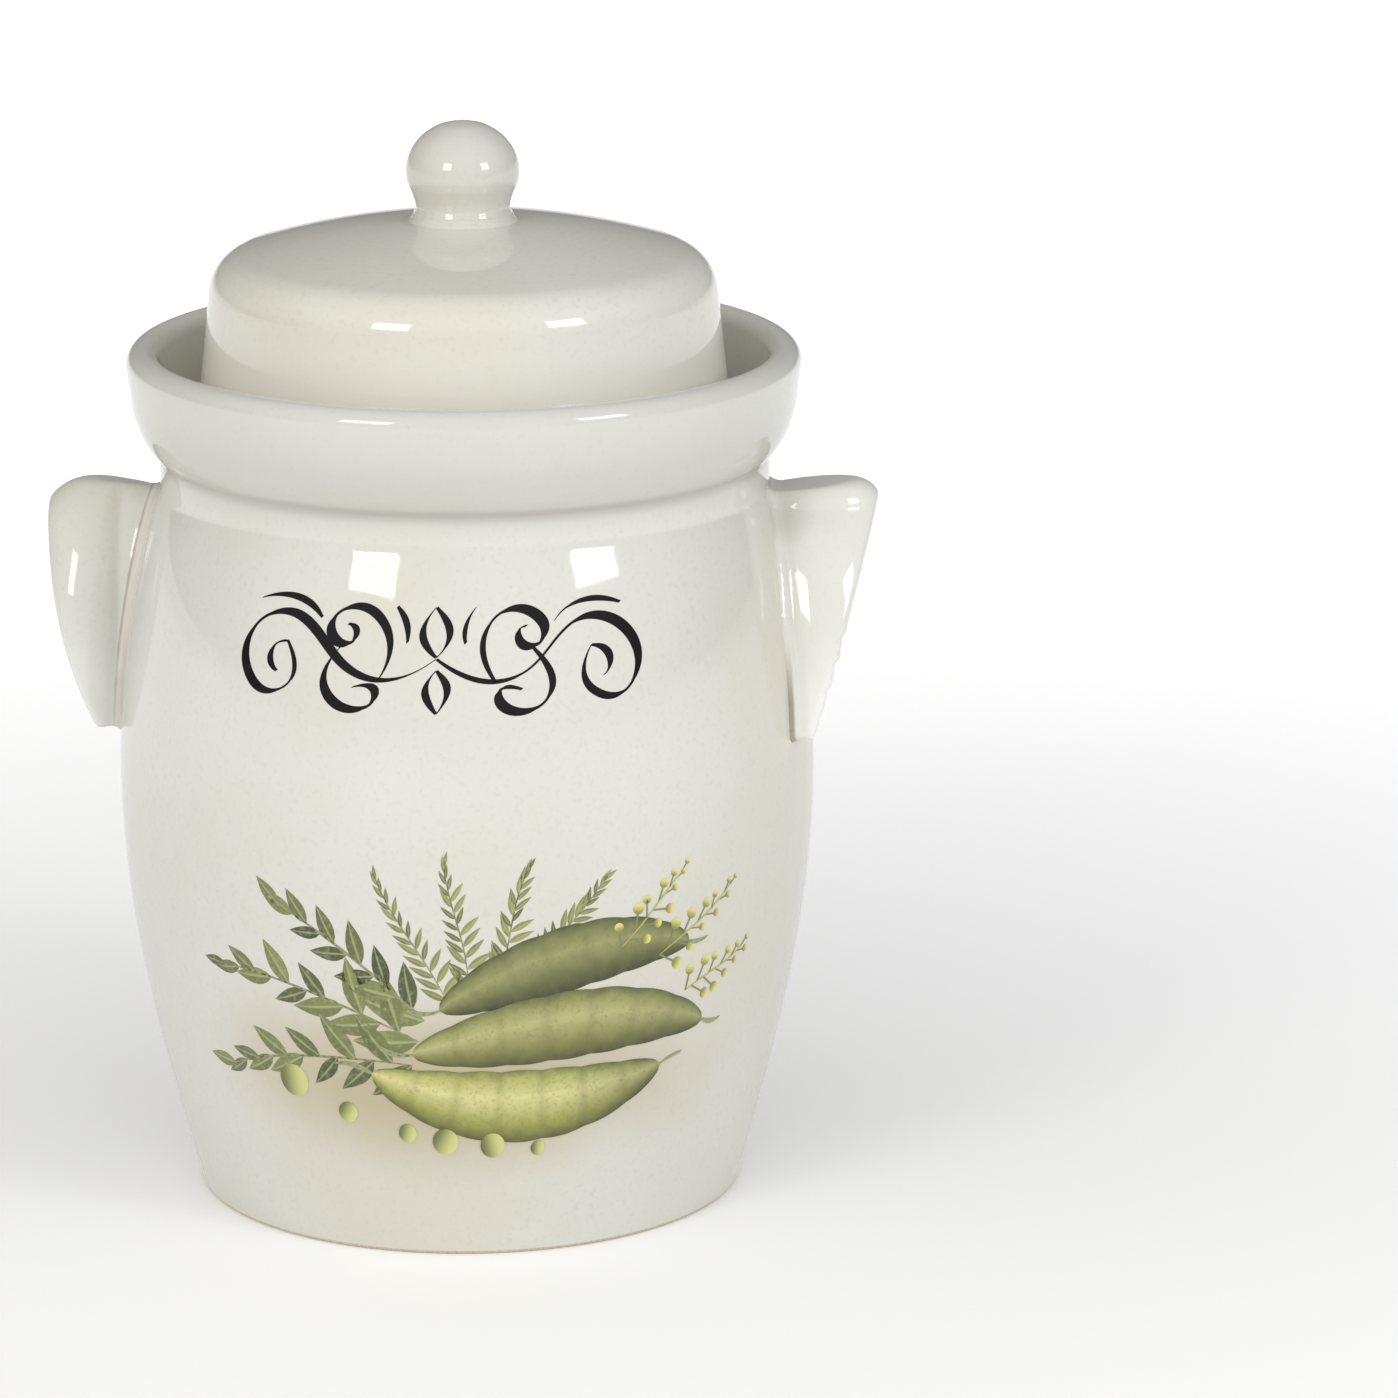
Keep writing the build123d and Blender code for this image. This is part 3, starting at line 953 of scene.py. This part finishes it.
def sprig_tree(name, growth, material, layer):
    """Leaves or buds set in turn on both sides of stems, smaller towards the tips."""
    wires = start_tree(name, growth_inputs)
    stems = wires["Geometry"]
    drawn = nib_ribbons(stems, wires["Stem"], wires["Stem"], nib_angle)
    steps = {"Curve": stems, "Count": wires["Count"]}
    line = stems.node("GeometryNodeResampleCurve", {"mode": "COUNT"}, steps)
    line = named(line, "share", line.node("GeometryNodeSplineParameter", {}, {}))
    points = line.node("GeometryNodeCurveToPoints", {"mode": "EVALUATED"}, {"Curve": line})
    way_x, _, way_z = Wire(stems.tree, points.socket.node.outputs["Tangent"]).parts()
    share = kept(stems, "share")
    index = stems.node("GeometryNodeInputIndex", {}, {})
    side = index.maths("MODULO", 2.0) * 2 - 1
    draw = {2: -1.0, 3: 1.0, "Seed": wires["Seed"]}
    chance = stems.node("FunctionNodeRandomValue", {"data_type": "FLOAT"}, draw, 1)
    lean = side * wires["Spread"] * (1 - share * share * tip_closing) + chance * stray_lean
    turn = vector(0.0, way_x.maths("ARCTAN2", way_z) + lean, 0.0)
    size = (1 - share * tip_shrink) * (1 + chance * stray_size)
    size = vector(size, size, size)
    set_out = {"Points": points, "Instance": growth(wires), "Rotation": turn, "Scale": size}
    leaves = stems.node("GeometryNodeInstanceOnPoints", {}, set_out)
    leaves = named(leaves, "tone", chance * 0.5 + 0.5, "INSTANCE")
    if growth is not berry:
        leaves = stems.node("GeometryNodeJoinGeometry", {}, {"Geometry": [drawn, leaves]})
    return end_tree(printed(leaves, picture_turn, 0.0, layer), material)


def trait(place, title):
    """A value kept on the printed mesh."""
    return place.node("ShaderNodeAttribute", {"attribute_name": title}, {}, "Fac")


def painted(place, run, stops):
    """A colour from a row of stops."""
    stops = [(spot, srgb(*tone)[:3]) for spot, tone in stops]
    return place.node("ShaderNodeValToRGB", {"stops": stops}, {"Fac": run})


def pod_colour(ripeness):
    """Colours of one pod: dark at its edges, light where it turns to the sky, dimpled between its peas."""

    def colour_of(place):
        along = trait(place, "along")
        across = trait(place, "across") * 0.5 + 0.5
        run = across + clouds(place, stroke_size, 4.0, 29.0) * stroke_stray - stroke_stray / 2
        tip = along.ramp(*pod_tip, ripeness, ripeness * 0.3)
        colour = over(tip, painted(place, run, dark_pod), painted(place, run, pale_pod))
        dimple = (along * pea_count * pi).maths("SINE").maths("ABSOLUTE").ramp(0.0, 0.6, 0.22, 0.0)
        colour = over(dimple, colour, srgb(*pod_dimple))
        grain = clouds(place, pod_grain_size, 3.0, 31.0).ramp(0.5, 0.7, 0.0, 0.3)
        return over(grain, colour, srgb(*pod_grain))

    return colour_of


def leaf_colour(dark, light):
    """Colours of leaves: each its own tone, with a pale midrib and one half in shade."""

    def colour_of(place):
        across = trait(place, "across")
        colour = over(trait(place, "tone"), srgb(*dark), srgb(*light))
        colour = over(across.ramp(-0.2, 0.2, 0.3, 0.0), colour, srgb(*leaf_shade))
        rib = across.maths("ABSOLUTE").ramp(0.05, 0.2, 0.5, 0.0)
        colour = over(rib, colour, srgb(*leaf_rib))
        grain = clouds(place, leaf_grain_size, 3.0, 37.0).ramp(0.45, 0.7, 0.0, 0.35)
        return over(grain, colour, srgb(*leaf_grain))

    return colour_of


def bud_colour(place):
    """Yellow buds, greener underneath, on olive twigs."""
    sky = trait(place, "along").ramp(-0.9, 0.8)
    colour = over(sky, srgb(*bud_shade), srgb(*bud_yellow))
    twig = trait(place, "across").ramp(*on_twig)
    return over(twig, colour, srgb(*twig_olive))


def pea_colour(place):
    """Round peas, light above and dark below."""
    sky = trait(place, "along").ramp(-1.0, 0.7)
    return over(sky, srgb(*pea_shade), srgb(*pea_green))


for name, (middle, half, layer, ripeness) in pods.items():
    skin = fired(f"{name}_print", pod_colour(ripeness))
    shape = {"Half width": half, "Peas": pea_count, "Rows": pod_rows}
    print_piece(name, brush_curves(name, [middle]), pod_tree(skin, layer), shape)
bay = fired("bay_leaf_print", leaf_colour(*bay_greens))
thyme = fired("thyme_print", leaf_colour(*thyme_greens))
yellow = fired("bud_print", bud_colour)
pea = fired("pea_print", pea_colour)
stalk_brush = brush_tree("stalks", thyme, picture_turn, 0.0, stalk_layer)
print_piece("pod_stalks", brush_curves("stalks", stalks), stalk_brush, stalk_sizes)
for name, stems, growth, material, layer, sizes in (
    ("bay_sprigs", bay_stems, leaf, bay, 0.0, (12, 3, 0.0165, 0.0062, 0.75, 0.0009)),
    ("thyme_sprigs", thyme_stems, leaf, thyme, 0.5, (22, 5, 0.0078, 0.0019, 0.8, 0.0005)),
    ("bud_sprigs", bud_stems, bud, yellow, 4.0, (11, 8, 0.0062, 0.0030, 0.9, 0.0005)),
    ("loose_peas", loose_peas, berry, pea, 6.0, (3, 4, 0.001, 0.0088, 0.5, 0.0005)),
):
    curves = brush_curves(name, stems)
    print_piece(name, curves, sprig_tree(name, growth, material, layer), dict(zip(growth_inputs, sizes)))


# Lid. A bell thrown in one piece whose skirt stands in the channel, with two gas notches in its
# lip, glazed a shade lighter than the crock. Its solid is shown as it is, under this glaze.
lid_cool = (222, 221, 214)
lid_warm = (218, 215, 203)
ring_grey = (196, 191, 176)
# Painted shade on the knob and painted light down the skirt.
knob_shade_grey = (196, 194, 185)
skirt_light_white = (240, 237, 227)
rings_per_metre = 2400
ring_wander = 0.001
wander_size = 0.05
shoulder = (0.235, 0.25)
knob_shade_height = (0.268, 0.276)
skirt_light_height = (0.225, 0.25)


def lid_colour(place):
    """Cream glaze with thin rings where it was turned, painted shade on the knob and painted light down
    the skirt.
    """
    colour = cream(place, lid_cool, lid_warm)
    x, y, z = place.parts()
    reach = (x * x + y * y).maths("SQRT")
    wander = clouds(place, wander_size) * ring_wander
    rings = ((reach + wander) * rings_per_metre).maths("SINE").ramp(0.2, 1.0, 0.0, 0.05)
    colour = over(rings * z.ramp(*shoulder), colour, srgb(*ring_grey))
    # Painted shade on the knob.
    colour = over(z.ramp(*knob_shade_height, 0.0, 0.45), colour, srgb(*knob_shade_grey))
    # Painted light down the skirt, which stands in the channel's shade.
    return over(z.ramp(*skirt_light_height, 0.9, 0.0), colour, srgb(*skirt_light_white))


lid_glaze = fired("lid_cream_glaze", lid_colour)
lid_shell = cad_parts["lid_shell"]
lid_shell.data.materials.clear()
lid_shell.data.materials.append(lid_glaze)


# Knob. A ball on a short neck, luted in the middle of the lid and shaped by hand, so that it is a
# little uneven, with glaze gathered in the neck.
knob_columns = 128
knob_wave = 0.03
knob_wave_size = 0.022
ball_start = 0.2752
crown_reach = 0.003
knob_neck = (
    *((14.6, 265.88), (14.1, 266.5), (13.6, 267.0), (13.5, 267.5), (13.1, 267.9)),
    *((13.15, 268.3), (12.8, 268.7), (12.85, 269.1), (12.6, 269.5), (12.6, 270.1)),
    *((12.75, 271.0), (13.1, 272.2), (13.5, 273.3), (13.9, 274.3), (14.25, 275.0)),
)
knob_crown = ((2.4, 292.45), (1.2, 292.62), (0, 292.68))


def in_metres(line):
    """The same points, given in millimetres."""
    return [(reach / 1000, height / 1000) for reach, height in line]


wheel = {"Columns": knob_columns, "Wave": knob_wave, "Wave size": knob_wave_size, "Seed": 9.0}
neck = in_metres(knob_neck)
ball = [spot for spot in outline_of("lid_knob") if spot[0] > crown_reach and spot[1] > ball_start]
knob_outline = [(0.0, neck[0][1]), *neck, *ball, *in_metres(knob_crown)]
knob = turned_piece("knob", "lid_knob", lid_glaze, wheel, knob_outline)


# Weight stones. Two half discs of the same clay, fired without glaze, that hold the food under the
# brine. Their faces are dry and speckled with iron and sand.
buff = (206, 190, 163)
dark_buff = (182, 164, 136)
pale_sand = (214, 201, 178)
iron_spot = (122, 92, 62)
spots_per_metre = 320
spot_edge = (0.1, 0.22)
spot_share = (0.82, 0.92)
stone_grain_size = 0.0007
stone_drift_size = 0.03
dry_roughness = (0.72, 0.88)
dry_heights = (0.00012, 0.00006)


def stone_colour(place):
    """Bare stoneware: buff clay with darker iron spots and pale sand."""
    grain = clouds(place, stone_grain_size, 4.0, 19.0).ramp(0.3, 0.7)
    colour = over(grain, srgb(*buff), srgb(*dark_buff))
    drift = clouds(place, stone_drift_size, 2.0, 21.0).ramp(0.35, 0.65, 0.0, 0.4)
    colour = over(drift, colour, srgb(*pale_sand))
    cells = {"Vector": place, "Scale": spots_per_metre}
    spot = place.node("ShaderNodeTexVoronoi", {}, cells, "Distance").ramp(*spot_edge, 1.0, 0.0)
    which = place.node("ShaderNodeTexVoronoi", {}, cells, "Color").parts()[0].ramp(*spot_share)
    return over(spot * which * 0.7, colour, srgb(*iron_spot))


bare_clay = fired("bare_stoneware_clay", stone_colour, dry_roughness, dry_heights)
for stone in ("weight_stone_left", "weight_stone_right"):
    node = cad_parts[stone]
    node.data.materials.clear()
    node.data.materials.append(bare_clay)
